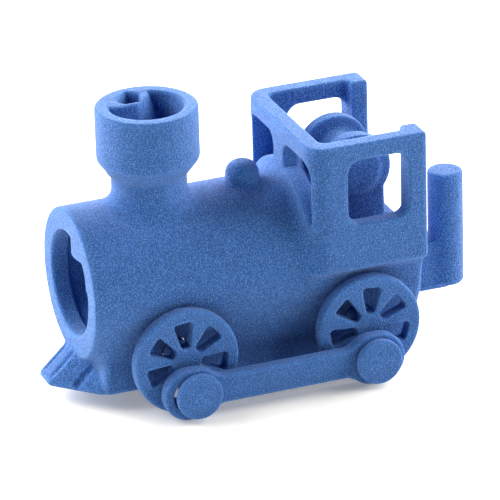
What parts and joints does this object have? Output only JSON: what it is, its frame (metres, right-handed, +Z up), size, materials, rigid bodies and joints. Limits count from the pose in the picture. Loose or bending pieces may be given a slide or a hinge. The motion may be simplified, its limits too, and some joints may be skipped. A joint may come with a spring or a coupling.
{
  "type": "toy steam locomotive",
  "caption": "Small printed toy steam locomotive with a hollow boiler, wide chimney, open cab, turning wheelsets, coupling rods and a rear coupling post.",
  "frame": {"origin": "on the floor, under the middle of the engine's bounding box", "axes": "the engine faces -Y, its left side is +X, up is +Z"},
  "size_m": [0.0354, 0.0658, 0.0421],
  "materials": {
    "body_nylon": "matt sintered nylon, dyed blue, fine powder grain",
    "inner_nylon": "matt sintered nylon, dyed blue, a little darker inside",
    "running_gear_nylon": "matt sintered nylon, dyed blue, fine powder grain"
  },
  "bodies": {
    "root": {"smokebox_front": "body_nylon", "smokebox_bracket": "inner_nylon", "boiler_shell": "body_nylon", "chimney": "body_nylon", "chimney_pipe": "inner_nylon", "steam_dome": "body_nylon", "cab_shell": "body_nylon", "cab_floor": "inner_nylon", "cab_spool": "inner_nylon", "cab_pedestal": "inner_nylon", "firebox_base": "body_nylon", "chassis_frame": "body_nylon", "cowcatcher": "body_nylon", "rear_coupling_arm": "body_nylon", "rear_coupling_post": "body_nylon"},
    "front_wheelset": {"front_axle": "running_gear_nylon", "front_left_wheel": "running_gear_nylon", "front_right_wheel": "running_gear_nylon", "front_left_crank_pin": "running_gear_nylon", "front_right_crank_pin": "running_gear_nylon"},
    "rear_wheelset": {"rear_axle": "running_gear_nylon", "rear_left_wheel": "running_gear_nylon", "rear_right_wheel": "running_gear_nylon", "rear_left_crank_pin": "running_gear_nylon", "rear_right_crank_pin": "running_gear_nylon"},
    "left_rod": {"left_coupling_rod": "running_gear_nylon"},
    "right_rod": {"right_coupling_rod": "running_gear_nylon"}
  },
  "joints": [
    {"name": "front_axle_spin", "type": "hinge", "parent": "root", "child": "front_wheelset", "pos_m": [0, -0.0152, 0.0078], "axis": [1, 0, 0], "continuous": true},
    {"name": "rear_axle_spin", "type": "hinge", "parent": "root", "child": "rear_wheelset", "pos_m": [0, 0.0127, 0.0078], "axis": [1, 0, 0], "continuous": true},
    {"name": "left_rod_pivot", "type": "hinge", "parent": "front_wheelset", "child": "left_rod", "pos_m": [0.01495, -0.01494, 0.00411], "axis": [1, 0, 0], "continuous": true},
    {"name": "right_rod_pivot", "type": "hinge", "parent": "front_wheelset", "child": "right_rod", "pos_m": [-0.01495, -0.01494, 0.00411], "axis": [1, 0, 0], "continuous": true}
  ],
  "couplings": [
    {"joint": "rear_axle_spin", "follows": "front_axle_spin", "ratio": 1},
    {"joint": "left_rod_pivot", "follows": "front_axle_spin", "ratio": -1},
    {"joint": "right_rod_pivot", "follows": "front_axle_spin", "ratio": -1}
  ]
}
